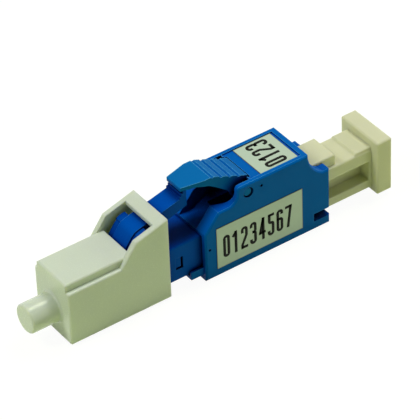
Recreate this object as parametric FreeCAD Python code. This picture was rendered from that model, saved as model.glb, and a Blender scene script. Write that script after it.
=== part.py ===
import FreeCAD, Part
import math
import os

from FreeCAD import Vector

# Driving sizes in millimetres.
# X runs along the fibre, from the plug at the front to the port at the rear.
# Stations along X are counted from the front face of the rear body, and
# the sizes named AHEAD are counted forwards from it.

# Plug and port interface
PLUG_SIZE = 4.5
PLUG_LENGTH = 15.6
PLUG_EDGE = 0.25
AXIS_HEIGHT = 3.4
FIT_GAP = 0.05
SLIDE_GAP = 0.1
SNUG_GAP = 0.03

# How far a cutting tool runs past the wall it opens, and how far joined blocks share volume
OVERCUT = 1.0
LAP = 0.1

# Two places closer than this are the same place
TOUCH = 1e-4

# Rear body
BODY_WIDTH = 6.2
BODY_LENGTH = 15.9
BODY_EDGE = 0.18
RAIL_RISE = 4.5
RAIL_START = 4.2
RAIL_WALL = 0.6
CHEEK_RISE = 2.55
CHEEK_FLAT_START = 1.8
CHEEK_WALL = 1.6
NOSE_RISE = 0.35
COVE_RADIUS = 1.2
EAR_RADIUS = 0.4
TOP_END = 13.2
SCOOP_RADIUS = 3.4
WING_RISE = 1.4
SOCKET_DEPTH = 2.0
SOCKET_RELIEF = 0.4
BULKHEAD = 1.2
WELL_END = 6.55
WELL_ROOF = 0.25
WELL_DRAIN_INSET = 0.3
CORNER_BLOCK = 0.45
RECESS_DEPTH = 0.15
RECESS_END = 12.6
PANEL_THICKNESS = 1.0
CHAMBER_WALL = 0.45
MOUTH_START = 12.4
MOUTH_RISE = 1.8
SIDE_SLOT_START = 13.8
SIDE_SLOT_HEIGHT = 1.0
TONGUE_LENGTH = 1.6
TONGUE_GAP = 0.2
TONGUE_WALL = 0.22
TONGUE_FLOOR = 0.4
TONGUE_RISE = 0.55
MARK_RADIUS = 0.16
MARK_DEPTH = 0.4
REAR_MARK_START = 7.2
FRONT_MARK_START = 0.52
FRONT_MARK_RISE = 0.55

# Trigger
PIVOT_START = 5.45
PIVOT_DROP = 1.0
PIN_RADIUS = 0.46
PIN_SLACK = 0.15
PIN_PLAY = 0.015
PIN_RECESS = 0.05
TRIGGER_RISE = 1.77
TRIGGER_TIP = 1.55
TRIGGER_TIP_DROP = 0.1
TRIGGER_TIP_WIDTH = 2.4
TRIGGER_TIP_THICKNESS = 0.45
TRIGGER_WIDTH = 3.6
TRIGGER_WIDE_START = 1.0
TRIGGER_CREST_START = 0.9
TRIGGER_BEND_START = 2.05
TRIGGER_END_GAP = 0.16
TRIGGER_END_DROP = 0.05
TRIGGER_UNDER_DROP = 0.07
TRIGGER_EDGE = 0.13
TRIGGER_HEEL_START = 0.22
TRIGGER_WEB_DROP = 0.36
HUB_LENGTH = 0.5
HUB_DROP = 0.75
HUB_TAPER = 0.06
HUB_SHOULDER = 0.4
HUB_FRONT = 1.0
HUB_FRONT_DROP = 0.55
BELLY_LOW_FRONT = 1.74
BELLY_LOW_RISE = 0.29
BELLY_MID_FRONT = 3.0
BELLY_MID_RISE = 1.28
BELLY_END_FRONT = 3.9
RIB_COUNT = 4
RIB_GROOVE = 0.14
RIB_GROOVE_RADIUS = 0.25

# Latch arm
ARM_WIDTH = 2.4
LUG_WIDTH = 4.2
LUG_DROP = 0.16
LUG_FRONT_AHEAD = 7.26
LUG_REAR_AHEAD = 6.2
LUG_REAR_RISE = 3.6
LUG_UNDER_RISE = 2.4
ROOT_WIDTH = 4.0
ROOT_AHEAD = 8.85
ROOT_RISE = 0.32
ROOT_RADIUS = 0.55
RAMP_ANGLE = 53.3
SHOULDER_AHEAD = 7.63
SHOULDER_RISE = 2.89
BROW_AHEAD = 7.3
BROW_RISE = 3.24
CREST_AHEAD = 6.85
CREST_RISE = 3.44
BACK_AHEAD = 5.88
BACK_RISE = 3.7
STAIR_AHEAD = 1.62
STAIR_RISE = 4.8
STAIR_TREAD = 0.21
STAIR_COUNT = 3
HEEL_AHEAD = 0.8
HEEL_UNDER_RISE = 3.68
HEEL_GAP = 0.07
UNDER_MID_AHEAD = 3.26
UNDER_MID_RISE = 2.91
UNDER_FRONT_AHEAD = 7.15
UNDER_FRONT_RISE = 1.69
RAMP_END_AHEAD = 7.0
RAMP_END_RISE = 3.37
RAMP_UNDER_RISE = 1.8

# Dust cap
CAP_WALL = 0.77
CAP_FLOOR = 0.9
CAP_REAR_AHEAD = 4.42
CAP_FRONT_WALL = 1.0
CAP_EDGE = 0.25
CAP_FRONT_EDGE = 0.15
LEDGE_RISE = 1.15
ROOF_RISE = 2.04
ROOF_WIDTH = 5.1
ROOF_THICKNESS = 0.4
ROOF_POCKET_LENGTH = 2.9
HOOD_LENGTH = 5.75
HOOD_CREST_LENGTH = 3.88
HOOD_RISE = 4.8
HOOD_FALL = 1.15
HOOD_WALL = 0.66
HOOD_EDGE = 0.12
BRIDGE_LENGTH = 1.38
BRIDGE_THICKNESS = 0.5
WINDOW_LENGTH = 2.88
STUB_RADIUS = 1.63
STUB_LENGTH = 3.4
STUB_BLEND = 0.2
STUB_BORE_RADIUS = 1.2
STUB_END_WALL = 0.8

# Dust plug
PLUG_IN_DEPTH = 5.9
PLATE_START = 22.12
PLATE_THICKNESS = 1.95
PLATE_WIDTH = 6.3
PLATE_HEIGHT = 6.75
PLATE_LIFT = 0.57
PLATE_EDGE = 0.16
SHANK_EDGE = 0.2
NECK_WIDTH = 4.24
NECK_RISE = 0.45
NECK_DROP = 0.08
COLLAR_START = 20.2
COLLAR_RISE = 0.26
COLLAR_RAMP = 0.24
COLLAR_INSET = 0.12
KEY_WIDTH = 3.6
KEY_END = 17.58
KEY_FRONT_GAP = 0.4
SIDE_GROOVE_DEPTH = 1.4
SIDE_GROOVE_HEIGHT = 2.45
SIDE_GROOVE_IN = 1.0
SIDE_GROOVE_END_WALL = 0.35

# Ferrule train
FERRULE_RADIUS = 0.6245
FERRULE_OUT = 1.8
FERRULE_TAPER = 0.2
FIBRE_RADIUS = 0.0625
FLANGE_RADIUS = 1.5
FLANGE_ACROSS = 2.76
FLANGE_SIDES = 6
FLANGE_LENGTH = 1.3
FLANGE_TUBE_RADIUS = 0.95
FLANGE_TUBE_LENGTH = 2.6
CHAMBER_RADIUS = 1.75
NOSE_BORE_RADIUS = 1.6
STOP_AHEAD = 11.0
STOP_WALL = 0.8
STOP_GAP = 0.2
SPRING_WIRE = 0.3
SPRING_WIRE_SIDES = 8
SPRING_TURNS = 5
SPRING_STEPS = 12
SPRING_GAP = 0.12
RETAINER_AHEAD = 4.3
RETAINER_GAP = 0.15
SNAP_AHEAD = 2.28
SNAP_LENGTH = 0.87
SNAP_HEIGHT = 1.46
SNAP_RISE = 0.68
SNAP_GAP = 0.24
SNAP_PLAY = 0.02
SNAP_SINK = 0.06
SLEEVE_LENGTH = 6.8
SLEEVE_WALL = 0.18
SLEEVE_SLIT = 0.25
SLEEVE_GAP = 0.012
HOLDER_WALL = 0.36
HOLDER_FLANGE = 0.6
HOLDER_END_WALL = 0.25
HOLDER_LEAD = 0.08

# Labels
LABEL_THICKNESS = 0.06
SIDE_LABEL_LENGTH = 10.95
SIDE_LABEL_HEIGHT = 5.5
SIDE_LABEL_START = 1.35
SIDE_LABEL_LOW = 0.81
TOP_LABEL_LENGTH = 4.75
TOP_LABEL_INSET = 0.25

# Sizes that follow from the driving ones
PLUG_HALF = PLUG_SIZE / 2
PLUG_BOTTOM = AXIS_HEIGHT - PLUG_HALF
PLUG_TOP = AXIS_HEIGHT + PLUG_HALF
PORT_HALF = PLUG_HALF + FIT_GAP
PORT_BOTTOM = AXIS_HEIGHT - PORT_HALF
PORT_TOP = AXIS_HEIGHT + PORT_HALF
BODY_HALF = BODY_WIDTH / 2
BODY_TOP = PLUG_TOP + RAIL_RISE
PORT_START = SOCKET_DEPTH + BULKHEAD
WELL_FLOOR = PORT_TOP + WELL_ROOF
RAIL_INNER = BODY_HALF - RAIL_WALL
RECESS_FLOOR = BODY_TOP - RECESS_DEPTH
PANEL_UNDER = RECESS_FLOOR - PANEL_THICKNESS
WING_TOP = PORT_TOP + WING_RISE
PIVOT_Z = BODY_TOP - PIVOT_DROP
TRIGGER_TOP = BODY_TOP + TRIGGER_RISE
TRIGGER_UNDER = TRIGGER_TOP - TRIGGER_UNDER_DROP - TRIGGER_TIP_THICKNESS
CAP_HALF = PORT_HALF + CAP_WALL
CAP_REAR = -CAP_REAR_AHEAD
CAP_FRONT = -PLUG_LENGTH - FIT_GAP - CAP_FRONT_WALL
BRIDGE_FRONT = CAP_REAR - BRIDGE_LENGTH
WINDOW_FRONT = BRIDGE_FRONT - WINDOW_LENGTH
ROOT_X = -ROOT_AHEAD
ROOT_Z = PLUG_TOP + ROOT_RISE
SLEEVE_INNER = FERRULE_RADIUS + SLEEVE_GAP
SLEEVE_OUTER = SLEEVE_INNER + SLEEVE_WALL
HOLDER_INNER = SLEEVE_OUTER + SNUG_GAP
HOLDER_OUTER = HOLDER_INNER + HOLDER_WALL
SLEEVE_CENTRE = PORT_START - FERRULE_OUT
SLEEVE_FRONT = SLEEVE_CENTRE - SLEEVE_LENGTH / 2
SLEEVE_REAR = SLEEVE_CENTRE + SLEEVE_LENGTH / 2
FERRULE_TIP = -PLUG_LENGTH - FERRULE_OUT
FERRULE_END = SLEEVE_CENTRE
STOP_FRONT = -STOP_AHEAD
STOP_REAR = STOP_FRONT + STOP_WALL
FLANGE_REAR = STOP_REAR + FLANGE_LENGTH
RETAINER_FRONT = -RETAINER_AHEAD
SNAP_REAR = -SNAP_AHEAD
SNAP_FRONT = SNAP_REAR - SNAP_LENGTH
SNAP_TOP = AXIS_HEIGHT + SNAP_RISE
SNAP_LOW = SNAP_TOP - SNAP_HEIGHT
KEY_TOP = PORT_TOP + MOUTH_RISE - SLIDE_GAP


def box(x0, x1, half_y, z0, z1):
    """A block centred on the XZ plane."""
    return Part.makeBox(x1 - x0, 2 * half_y, z1 - z0, Vector(x0, -half_y, z0))


def block(x0, x1, y0, y1, z0, z1):
    """A block between two corners."""
    return Part.makeBox(x1 - x0, y1 - y0, z1 - z0, Vector(x0, y0, z0))


def rod(radius, x0, x1):
    """A round bar along the optical axis."""
    return Part.makeCylinder(radius, x1 - x0, Vector(x0, 0, AXIS_HEIGHT), Vector(1, 0, 0))


def cross_rod(radius, y0, y1, x, z):
    """A round bar along Y through the point (x, z)."""
    return Part.makeCylinder(radius, y1 - y0, Vector(x, y0, z), Vector(0, 1, 0))


def side_prism(points, half_y):
    """A side outline in XZ, pushed out to both sides of the XZ plane."""
    loop = [Vector(x, -half_y, z) for x, z in points]
    face = Part.Face(Part.makePolygon(loop + loop[:1]))
    return face.extrude(Vector(0, 2 * half_y, 0))


def plan_prism(points, z0, z1):
    """An outline in XY given for +Y only, mirrored and raised from z0 to z1."""
    right = [Vector(x, y, z0) for x, y in points]
    left = [Vector(x, -y, z0) for x, y in reversed(points)]
    loop = right + left
    face = Part.Face(Part.makePolygon(loop + loop[:1]))
    return face.extrude(Vector(0, 0, z1 - z0))


def edges_along(shape, axis):
    """The straight edges of a shape that run along one axis."""
    found = []
    for edge in shape.Edges:
        span = edge.Vertexes[-1].Point - edge.Vertexes[0].Point
        if span.Length > TOUCH and abs(span.normalize().dot(axis)) > 1 - TOUCH:
            found.append(edge)
    return found


def edges_at(shape, x, z):
    """The edges along Y that pass through the point (x, z)."""
    found = []
    for edge in edges_along(shape, Vector(0, 1, 0)):
        point = edge.Vertexes[0].Point
        if abs(point.x - x) < TOUCH and abs(point.z - z) < TOUCH:
            found.append(edge)
    return found


def edges_on_sides(shape, half_y):
    """The edges that lie in the two side planes."""
    found = []
    for edge in shape.Edges:
        bounds = edge.BoundBox
        if bounds.YLength < TOUCH and abs(abs(bounds.YMin) - half_y) < TOUCH:
            found.append(edge)
    return found


def edges_in_x(shape, x):
    """The edges that lie in the plane across X at one station."""
    found = []
    for edge in shape.Edges:
        bounds = edge.BoundBox
        if bounds.XLength < TOUCH and abs(bounds.XMin - x) < TOUCH:
            found.append(edge)
    return found


def edges_in_z(shape, z):
    """The edges that lie in one level plane."""
    found = []
    for edge in shape.Edges:
        bounds = edge.BoundBox
        if bounds.ZLength < TOUCH and abs(bounds.ZMin - z) < TOUCH:
            found.append(edge)
    return found


def edges_round_tip(lever, tip):
    """The top edge of the lever's tip and the two upright edges beside it."""
    upper = TRIGGER_TOP - TRIGGER_TIP_DROP
    across = edges_at(lever, tip, upper)
    upright = [
        edge for edge in edges_along(lever, Vector(0, 0, 1))
        if abs(edge.BoundBox.XMax - tip) < TOUCH
    ]
    return across + upright


def bevelled_box(x0, x1, half_y, z0, z1, bevel):
    """A block with every edge bevelled."""
    blank = box(x0, x1, half_y, z0, z1)
    return blank.makeChamfer(bevel, blank.Edges)


def make_rear_body():
    """The main moulding: socket, port, latch chamber, trigger well and label recess."""
    cheek = PLUG_TOP + CHEEK_RISE
    outline = [
        (0, 0),
        (BODY_LENGTH, 0),
        (BODY_LENGTH, BODY_TOP),
        (RAIL_START, BODY_TOP),
        (RAIL_START, cheek),
        (CHEEK_FLAT_START, cheek),
        (0, PLUG_TOP + NOSE_RISE),
    ]
    body = side_prism(outline, BODY_HALF)
    body = body.makeFillet(COVE_RADIUS, edges_at(body, RAIL_START, cheek))
    body = body.makeFillet(EAR_RADIUS, edges_at(body, RAIL_START, BODY_TOP))

    # The rear corner is scooped out down to two low wings
    scoop = cross_rod(SCOOP_RADIUS, -BODY_WIDTH, BODY_WIDTH, TOP_END + SCOOP_RADIUS, BODY_TOP)
    above_wings = box(TOP_END, BODY_LENGTH + OVERCUT, BODY_WIDTH, WING_TOP, BODY_TOP + OVERCUT)
    body = body.cut(scoop.common(above_wings))
    body = body.makeChamfer(BODY_EDGE, edges_on_sides(body, BODY_HALF))

    # A short tongue in front stands off the lower corners of the plug
    tongue_inner = PLUG_HALF + TONGUE_GAP
    body = body.fuse(box(
        -TONGUE_LENGTH, SOCKET_RELIEF + LAP, tongue_inner + TONGUE_WALL,
        PLUG_BOTTOM - TONGUE_FLOOR, PLUG_BOTTOM + TONGUE_RISE,
    ))

    # Socket for the plug, relieved at its mouth, and port for the next plug
    tools = [
        box(-TONGUE_LENGTH - OVERCUT, SOCKET_RELIEF, tongue_inner, PLUG_BOTTOM, PLUG_TOP),
        box(0, SOCKET_DEPTH, PLUG_HALF, PLUG_BOTTOM, PLUG_TOP),
        box(PORT_START, BODY_LENGTH + OVERCUT, PORT_HALF, PORT_BOTTOM, PORT_TOP),
    ]

    # Seat of the sleeve holder in the bulkhead
    tools.append(rod(CHAMBER_RADIUS, SOCKET_DEPTH - LAP, SOCKET_DEPTH + HOLDER_FLANGE))
    tools.append(rod(HOLDER_OUTER, SOCKET_DEPTH, PORT_START + LAP))

    # Latch chamber over the port, with catch shoulders at the mouth
    low = PORT_TOP - LAP
    rear = BODY_LENGTH + OVERCUT
    tools.append(box(WELL_END + CHAMBER_WALL, MOUTH_START, LUG_WIDTH / 2 + SLIDE_GAP, low, PANEL_UNDER))
    tools.append(box(MOUTH_START - LAP, rear, KEY_WIDTH / 2 + SLIDE_GAP, low, PORT_TOP + MOUTH_RISE))
    tools.append(box(MOUTH_START - LAP, rear, ARM_WIDTH / 2 + SLIDE_GAP, low, PANEL_UNDER))

    # Trigger well, narrow between the cheeks and wide between the rails
    slot_half = BODY_HALF - CHEEK_WALL
    block_start = WELL_END - CORNER_BLOCK
    well = [
        (-TONGUE_LENGTH, slot_half),
        (CHEEK_FLAT_START, slot_half),
        (RAIL_START, RAIL_INNER),
        (block_start, RAIL_INNER),
        (block_start, RAIL_INNER - CORNER_BLOCK),
        (WELL_END, RAIL_INNER - CORNER_BLOCK),
    ]
    tools.append(plan_prism(well, WELL_FLOOR, BODY_TOP + OVERCUT))
    tools.append(box(
        PORT_START + WELL_DRAIN_INSET, WELL_END - WELL_DRAIN_INSET, slot_half, low, WELL_FLOOR + LAP,
    ))

    # Label recess on top, and the open slots low in the side walls at the rear
    tools.append(box(block_start + LAP, RECESS_END, RAIL_INNER, RECESS_FLOOR, BODY_TOP + OVERCUT))
    slot_top = PORT_BOTTOM + SIDE_SLOT_HEIGHT
    tools.append(box(SIDE_SLOT_START, rear, BODY_HALF + OVERCUT, PORT_BOTTOM, slot_top))

    # Pivot holes: the pins bear on the upper front of larger holes
    shift = (PIN_SLACK - PIN_PLAY) / math.sqrt(2)
    side = BODY_HALF + OVERCUT
    tools.append(cross_rod(PIN_RADIUS + PIN_SLACK, -side, side, PIVOT_START + shift, PIVOT_Z - shift))

    # Small moulding marks on the sides
    deep = BODY_HALF - MARK_DEPTH
    for x, z in ((REAR_MARK_START, PIVOT_Z), (FRONT_MARK_START, AXIS_HEIGHT + FRONT_MARK_RISE)):
        tools.append(cross_rod(MARK_RADIUS, -side, -deep, x, z))
        tools.append(cross_rod(MARK_RADIUS, deep, side, x, z))
    return body.cut(tools)


def make_plug_housing():
    """The square plug nose with its stop wall, spring chamber and snap windows."""
    body = box(-PLUG_LENGTH, SOCKET_DEPTH, PLUG_HALF, PLUG_BOTTOM, PLUG_TOP)
    body = body.makeFillet(PLUG_EDGE, edges_along(body, Vector(1, 0, 0)))
    root_half = ROOT_WIDTH / 2 + SNUG_GAP
    return body.cut([
        rod(NOSE_BORE_RADIUS, -PLUG_LENGTH - OVERCUT, STOP_FRONT),
        rod(FERRULE_RADIUS + STOP_GAP, STOP_FRONT - OVERCUT, STOP_REAR + OVERCUT),
        rod(CHAMBER_RADIUS, STOP_REAR, SOCKET_DEPTH + OVERCUT),
        box(SNAP_FRONT, SNAP_REAR, PLUG_HALF + OVERCUT, SNAP_LOW, SNAP_TOP),
        cross_rod(ROOT_RADIUS + SNUG_GAP, -root_half, root_half, ROOT_X, ROOT_Z),
    ])


def make_latch_arm():
    """The sprung arm: round root, steep ramp, two lugs and a stepped heel."""
    steep = math.radians(RAMP_ANGLE)
    out_x = -math.sin(steep)
    out_z = math.cos(steep)
    root_over = (ROOT_X + ROOT_RADIUS * out_x, ROOT_Z + ROOT_RADIUS * out_z)
    root_under = (ROOT_X - ROOT_RADIUS * out_x, ROOT_Z - ROOT_RADIUS * out_z)
    heel = TRIGGER_UNDER - HEEL_GAP
    foot = PLUG_TOP + STAIR_RISE
    rise = (heel - foot) / STAIR_COUNT
    top = [
        root_over,
        (-SHOULDER_AHEAD, PLUG_TOP + SHOULDER_RISE),
        (-BROW_AHEAD, PLUG_TOP + BROW_RISE),
        (-CREST_AHEAD, PLUG_TOP + CREST_RISE),
        (-BACK_AHEAD, PLUG_TOP + BACK_RISE),
        (-STAIR_AHEAD, foot),
    ]
    stairs = []
    for step in range(STAIR_COUNT):
        front = -STAIR_AHEAD + step * STAIR_TREAD
        stairs.append((front, foot + step * rise))
        stairs.append((front, foot + (step + 1) * rise))
    under = [
        (-HEEL_AHEAD, heel),
        (-HEEL_AHEAD, PLUG_TOP + HEEL_UNDER_RISE),
        (-UNDER_MID_AHEAD, PLUG_TOP + UNDER_MID_RISE),
        (-UNDER_FRONT_AHEAD, PLUG_TOP + UNDER_FRONT_RISE),
        root_under,
    ]
    arm = side_prism(top + stairs[1:] + under, ARM_WIDTH / 2)

    # The wide ramp and the lugs lie a little below the top of the arm
    sink_x = -out_x * LUG_DROP
    sink_z = -out_z * LUG_DROP
    ramp = side_prism([
        (root_over[0] + sink_x, root_over[1] + sink_z),
        (-SHOULDER_AHEAD + sink_x, PLUG_TOP + SHOULDER_RISE + sink_z),
        (-BROW_AHEAD + sink_x, PLUG_TOP + BROW_RISE - LUG_DROP),
        (-RAMP_END_AHEAD, PLUG_TOP + RAMP_END_RISE - LUG_DROP),
        (-RAMP_END_AHEAD, PLUG_TOP + RAMP_UNDER_RISE),
        root_under,
    ], ROOT_WIDTH / 2)
    lugs = side_prism([
        (-LUG_FRONT_AHEAD, PLUG_TOP + BROW_RISE - LUG_DROP),
        (-CREST_AHEAD, PLUG_TOP + CREST_RISE - LUG_DROP),
        (-LUG_REAR_AHEAD, PLUG_TOP + LUG_REAR_RISE - LUG_DROP),
        (-LUG_REAR_AHEAD, PLUG_TOP + LUG_UNDER_RISE),
        (-LUG_FRONT_AHEAD, PLUG_TOP + LUG_UNDER_RISE),
    ], LUG_WIDTH / 2)
    root = cross_rod(ROOT_RADIUS, -ROOT_WIDTH / 2, ROOT_WIDTH / 2, ROOT_X, ROOT_Z)
    return arm.fuse([ramp, lugs, root]).removeSplitter()


def make_trigger():
    """The ribbed lever with its two pivot pins."""
    tip = -TRIGGER_TIP
    end = WELL_END - TRIGGER_END_GAP
    end_z = BODY_TOP - TRIGGER_END_DROP
    outline = [
        (tip, TRIGGER_TOP - TRIGGER_TIP_DROP),
        (TRIGGER_CREST_START, TRIGGER_TOP),
        (TRIGGER_BEND_START, TRIGGER_TOP),
        (end, end_z),
        (end - HUB_TAPER, PIVOT_Z - HUB_SHOULDER),
        (end - HUB_LENGTH, PIVOT_Z - HUB_DROP),
        (PIVOT_START - HUB_FRONT, PIVOT_Z - HUB_FRONT_DROP),
        (PIVOT_START - BELLY_LOW_FRONT, PIVOT_Z + BELLY_LOW_RISE),
        (PIVOT_START - BELLY_MID_FRONT, PIVOT_Z + BELLY_MID_RISE),
        (PIVOT_START - BELLY_END_FRONT, TRIGGER_UNDER - TRIGGER_WEB_DROP),
        (TRIGGER_HEEL_START, TRIGGER_UNDER),
        (tip, TRIGGER_UNDER),
    ]
    lever = side_prism(outline, BODY_HALF)
    plan = [
        (tip - OVERCUT, TRIGGER_TIP_WIDTH / 2),
        (tip, TRIGGER_TIP_WIDTH / 2),
        (TRIGGER_WIDE_START, TRIGGER_WIDTH / 2),
        (end + OVERCUT, TRIGGER_WIDTH / 2),
    ]
    lever = lever.common(plan_prism(plan, 0, TRIGGER_TOP + OVERCUT))
    lever = lever.makeFillet(TRIGGER_EDGE, edges_round_tip(lever, tip))

    # Round grooves between the ribs of the thumb slope
    fall = math.atan2(TRIGGER_TOP - end_z, end - TRIGGER_BEND_START)
    lift = RIB_GROOVE_RADIUS - RIB_GROOVE
    grooves = []
    for rib in range(RIB_COUNT):
        share = rib / RIB_COUNT
        x = TRIGGER_BEND_START + share * (end - TRIGGER_BEND_START)
        z = TRIGGER_TOP - share * (TRIGGER_TOP - end_z)
        grooves.append(cross_rod(
            RIB_GROOVE_RADIUS, -BODY_HALF, BODY_HALF,
            x + lift * math.sin(fall), z + lift * math.cos(fall),
        ))
    lever = lever.cut(grooves)
    reach = BODY_HALF - PIN_RECESS
    pin = cross_rod(PIN_RADIUS, -reach, reach, PIVOT_START, PIVOT_Z)
    return lever.fuse(pin).removeSplitter()


def make_dust_cap():
    """The cap over the plug: ledges, raised roof, hood with its window, and ferrule stub."""
    low = PORT_BOTTOM - CAP_FLOOR
    ledge = PLUG_TOP + LEDGE_RISE
    roof = PLUG_TOP + ROOF_RISE
    hood = PLUG_TOP + HOOD_RISE
    shell = box(CAP_FRONT, CAP_REAR, CAP_HALF, low, ledge)
    shell = shell.makeFillet(CAP_EDGE, edges_along(shell, Vector(1, 0, 0)))
    shell = shell.makeChamfer(CAP_FRONT_EDGE, edges_in_x(shell, CAP_FRONT))
    stub_front = CAP_FRONT - STUB_LENGTH
    stub = rod(STUB_RADIUS, stub_front, CAP_FRONT + LAP)
    stub = stub.makeFillet(CAP_EDGE, edges_in_x(stub, stub_front))
    shell = shell.fuse(stub).removeSplitter()
    shell = shell.makeChamfer(STUB_BLEND, [
        edge for edge in edges_in_x(shell, CAP_FRONT)
        if abs(edge.BoundBox.ZLength - 2 * STUB_RADIUS) < TOUCH
    ])
    raised = box(CAP_FRONT, WINDOW_FRONT, ROOF_WIDTH / 2, AXIS_HEIGHT, roof)
    raised = raised.makeChamfer(CAP_FRONT_EDGE, [
        edge for edge in edges_in_z(raised, roof)
        if edge.BoundBox.XMin < WINDOW_FRONT - CAP_EDGE
    ])
    hood_block = side_prism([
        (CAP_REAR - HOOD_LENGTH, AXIS_HEIGHT),
        (CAP_REAR - HOOD_LENGTH, ledge),
        (CAP_REAR - HOOD_CREST_LENGTH, hood - HOOD_FALL),
        (CAP_REAR, hood),
        (CAP_REAR, AXIS_HEIGHT),
    ], CAP_HALF)
    hood_block = hood_block.makeChamfer(HOOD_EDGE, [
        edge for edge in edges_on_sides(hood_block, CAP_HALF)
        if edge.BoundBox.ZMin > ledge - TOUCH
    ])
    cap = shell.fuse([raised, hood_block]).removeSplitter()

    # Bore, pocket for the arm, window in the hood, way out under the bridge and bore of the stub
    hood_inner = CAP_HALF - HOOD_WALL
    fall = HOOD_FALL * BRIDGE_LENGTH / HOOD_CREST_LENGTH
    bridge_under = hood - BRIDGE_THICKNESS
    way_out = [
        (WINDOW_FRONT, PORT_TOP - LAP),
        (WINDOW_FRONT, bridge_under - fall),
        (BRIDGE_FRONT, bridge_under - fall),
        (CAP_REAR, bridge_under),
        (CAP_REAR + OVERCUT, bridge_under),
        (CAP_REAR + OVERCUT, PORT_TOP - LAP),
    ]
    pocket_front = WINDOW_FRONT - ROOF_POCKET_LENGTH
    pocket_half = LUG_WIDTH / 2 + SLIDE_GAP
    return cap.cut([
        box(-PLUG_LENGTH - FIT_GAP, CAP_REAR + OVERCUT, PORT_HALF, PORT_BOTTOM, PORT_TOP),
        box(pocket_front, WINDOW_FRONT + LAP, pocket_half, PORT_TOP - LAP, roof - ROOF_THICKNESS),
        box(CAP_REAR - HOOD_LENGTH - OVERCUT, BRIDGE_FRONT, hood_inner, roof, hood + OVERCUT),
        box(WINDOW_FRONT, BRIDGE_FRONT, hood_inner, PORT_TOP - LAP, hood + OVERCUT),
        side_prism(way_out, hood_inner),
        rod(STUB_BORE_RADIUS, stub_front + STUB_END_WALL, CAP_FRONT + CAP_FRONT_WALL + LAP),
    ])


def make_dust_plug():
    """The plug in the rear port: shank, key, side grooves and end plate."""
    plate_end = PLATE_START + PLATE_THICKNESS
    plate_low = AXIS_HEIGHT + PLATE_LIFT - PLATE_HEIGHT / 2
    plate = bevelled_box(
        PLATE_START, plate_end, PLATE_WIDTH / 2, plate_low, plate_low + PLATE_HEIGHT, PLATE_EDGE,
    )
    shank = box(BODY_LENGTH - PLUG_IN_DEPTH, BODY_LENGTH + 2 * LAP, PLUG_HALF, PLUG_BOTTOM, PLUG_TOP)
    shank = shank.makeFillet(SHANK_EDGE, edges_along(shank, Vector(1, 0, 0)))
    neck_half = NECK_WIDTH / 2
    neck_low = PLUG_BOTTOM - NECK_DROP
    neck_top = PLUG_TOP + NECK_RISE
    neck_end = PLATE_START + PLATE_THICKNESS / 2
    neck = box(BODY_LENGTH + LAP, neck_end, neck_half, neck_low, neck_top)
    neck = neck.makeFillet(SHANK_EDGE, edges_along(neck, Vector(1, 0, 0)))
    collar_top = neck_top + COLLAR_RISE
    collar = side_prism([
        (COLLAR_START - COLLAR_RAMP, AXIS_HEIGHT),
        (COLLAR_START - COLLAR_RAMP, neck_top),
        (COLLAR_START, collar_top),
        (neck_end, collar_top),
        (neck_end, AXIS_HEIGHT),
    ], neck_half - COLLAR_INSET)
    collar = collar.makeFillet(SHANK_EDGE, [
        edge for edge in edges_along(collar, Vector(1, 0, 0))
        if edge.BoundBox.ZMin > neck_top
    ])
    key = box(MOUTH_START + KEY_FRONT_GAP, KEY_END, KEY_WIDTH / 2, AXIS_HEIGHT, KEY_TOP)
    key = key.makeFillet(SHANK_EDGE, edges_in_z(key, KEY_TOP))
    plug = plate.fuse([shank, neck, collar, key]).removeSplitter()
    groove_low = AXIS_HEIGHT - SIDE_GROOVE_HEIGHT / 2
    groove_top = AXIS_HEIGHT + SIDE_GROOVE_HEIGHT / 2
    floor = neck_half - SIDE_GROOVE_DEPTH
    x0 = BODY_LENGTH - SIDE_GROOVE_IN
    x1 = PLATE_START - SIDE_GROOVE_END_WALL
    return plug.cut([
        block(x0, x1, floor, PLUG_SIZE, groove_low, groove_top),
        block(x0, x1, -PLUG_SIZE, -floor, groove_low, groove_top),
    ])


def make_ferrule():
    """The long ceramic ferrule, tapered at both ends, with its fibre bore."""
    blank = rod(FERRULE_RADIUS, FERRULE_TIP, FERRULE_END)
    ends = edges_in_x(blank, FERRULE_TIP) + edges_in_x(blank, FERRULE_END)
    blank = blank.makeChamfer(FERRULE_TAPER, ends)
    return blank.cut(rod(FIBRE_RADIUS, FERRULE_TIP - OVERCUT, FERRULE_END + OVERCUT))


def make_fibre():
    """The absorbing fibre in the ferrule."""
    return rod(FIBRE_RADIUS, FERRULE_TIP, FERRULE_END)


def make_flange():
    """The metal collar on the ferrule: head with flats and round tube."""
    head = rod(FLANGE_RADIUS, STOP_REAR, FLANGE_REAR)
    flat_z = AXIS_HEIGHT + FLANGE_ACROSS / 2
    flats = []
    for turn in range(FLANGE_SIDES):
        flat = block(
            STOP_REAR - OVERCUT, FLANGE_REAR + OVERCUT, -FLANGE_RADIUS, FLANGE_RADIUS,
            flat_z, flat_z + FLANGE_RADIUS,
        )
        flat.rotate(Vector(0, 0, AXIS_HEIGHT), Vector(1, 0, 0), 360 * turn / FLANGE_SIDES)
        flats.append(flat)
    head = head.cut(flats)
    tube_end = FLANGE_REAR + FLANGE_TUBE_LENGTH
    body = head.fuse(rod(FLANGE_TUBE_RADIUS, FLANGE_REAR - LAP, tube_end)).removeSplitter()
    return body.cut(rod(FERRULE_RADIUS, STOP_REAR - OVERCUT, tube_end + OVERCUT))


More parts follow.
